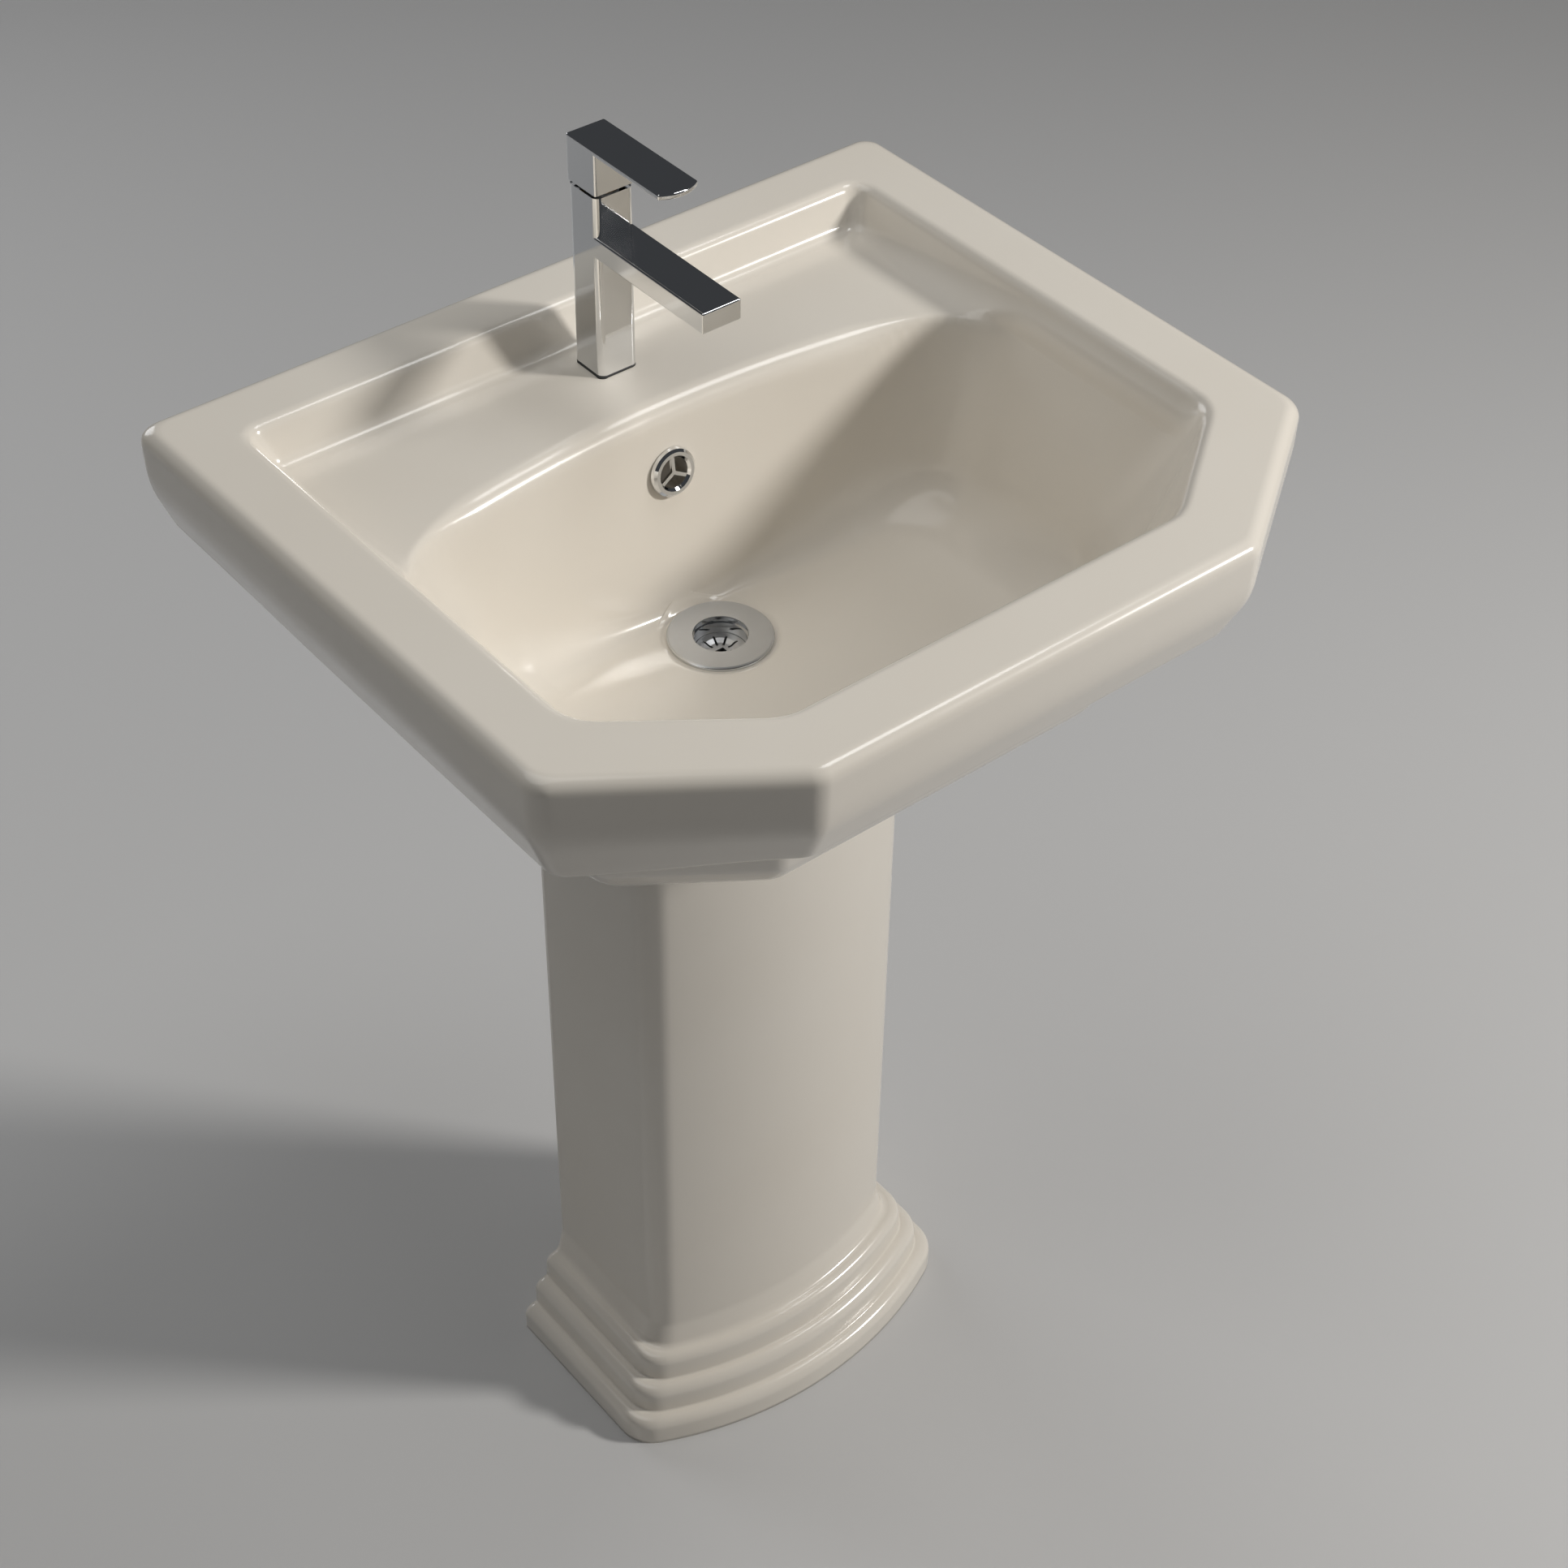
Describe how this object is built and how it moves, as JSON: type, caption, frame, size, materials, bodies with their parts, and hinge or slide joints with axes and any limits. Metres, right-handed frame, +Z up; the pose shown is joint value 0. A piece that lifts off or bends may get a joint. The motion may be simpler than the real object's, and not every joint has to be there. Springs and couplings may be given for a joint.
{
  "type": "pedestal sink",
  "caption": "Glazed ceramic wash basin with cut front corners on a bowed floor pedestal, with a chrome lever mixer tap, slotted waste, overflow ring and bottle trap behind.",
  "frame": {"origin": "on the floor, under the middle of the basin's width and depth", "axes": "+Z up, +Y towards the wall behind the sink, -Y towards the user, +X to the right as the user faces it"},
  "size_m": [0.6, 0.52, 1.0045],
  "materials": {
    "glazed_ivory": "glossy warm ivory glaze",
    "chrome": "bright polished chrome plate",
    "satin_metal": "satin grey stainless steel",
    "brass": "plain machined",
    "white_plastic": "smooth white moulded plastic",
    "grey_plastic": "plain moulded plastic",
    "white_ceramic": "lapped technical ceramic",
    "black_rubber": "matt",
    "clear_seal": "pale soft sealing ring"
  },
  "bodies": {
    "sink": {"basin": "glazed_ivory", "pedestal": "glazed_ivory", "overflow_ring": "chrome", "waste_flange": "satin_metal", "waste_strainer": "satin_metal", "waste_top_seal": "clear_seal", "waste_bottom_washer": "black_rubber", "waste_backnut": "white_plastic", "trap_inlet_pipe": "white_plastic", "trap_inlet_washer": "black_rubber", "trap_inlet_nut": "white_plastic", "trap_body_nut": "white_plastic", "trap_body_washer": "black_rubber", "trap_body": "white_plastic", "trap_cup": "white_plastic", "trap_cup_seal": "black_rubber", "trap_outlet_nut": "white_plastic", "trap_outlet_washer": "black_rubber", "trap_outlet_pipe": "white_plastic", "trap_wall_flange": "white_plastic", "tap_body": "chrome", "tap_base_seal": "black_rubber", "tap_shank": "brass", "tap_rubber_washer": "black_rubber", "tap_metal_washer": "satin_metal", "tap_shank_nut": "brass", "aerator_housing": "chrome", "aerator_insert": "white_plastic", "aerator_seal": "black_rubber", "cartridge_housing": "grey_plastic", "cartridge_port_seals": "black_rubber", "cartridge_base": "grey_plastic", "ceramic_disc_fixed": "white_ceramic", "cartridge_slip_ring": "white_plastic", "cartridge_nut": "brass"},
    "swivel": {"cartridge_rotor": "grey_plastic", "lever_pin": "satin_metal"},
    "lever": {"lever_handle": "chrome", "lever_stem": "brass", "lever_grub_screw": "satin_metal", "lever_index_plug": "grey_plastic"},
    "disc": {"ceramic_disc_moving": "white_ceramic", "disc_carrier": "grey_plastic"}
  },
  "joints": [
    {"name": "lever_swivel", "type": "hinge", "parent": "sink", "child": "swivel", "pos_m": [0, 0.171, 0.95], "axis": [0, 0, 1], "range_deg": [-45, 45]},
    {"name": "lever_lift", "type": "hinge", "parent": "swivel", "child": "lever", "pos_m": [0, 0.1805, 0.9746], "axis": [-1, 0, 0], "range_deg": [0, 22]},
    {"name": "disc_slide", "type": "slide", "parent": "swivel", "child": "disc", "axis": [0, -1, 0], "range_m": [0, 0.003]}
  ],
  "couplings": [
    {"joint": "disc_slide", "follows": "lever_lift", "m_per_rad": 0.0078}
  ]
}
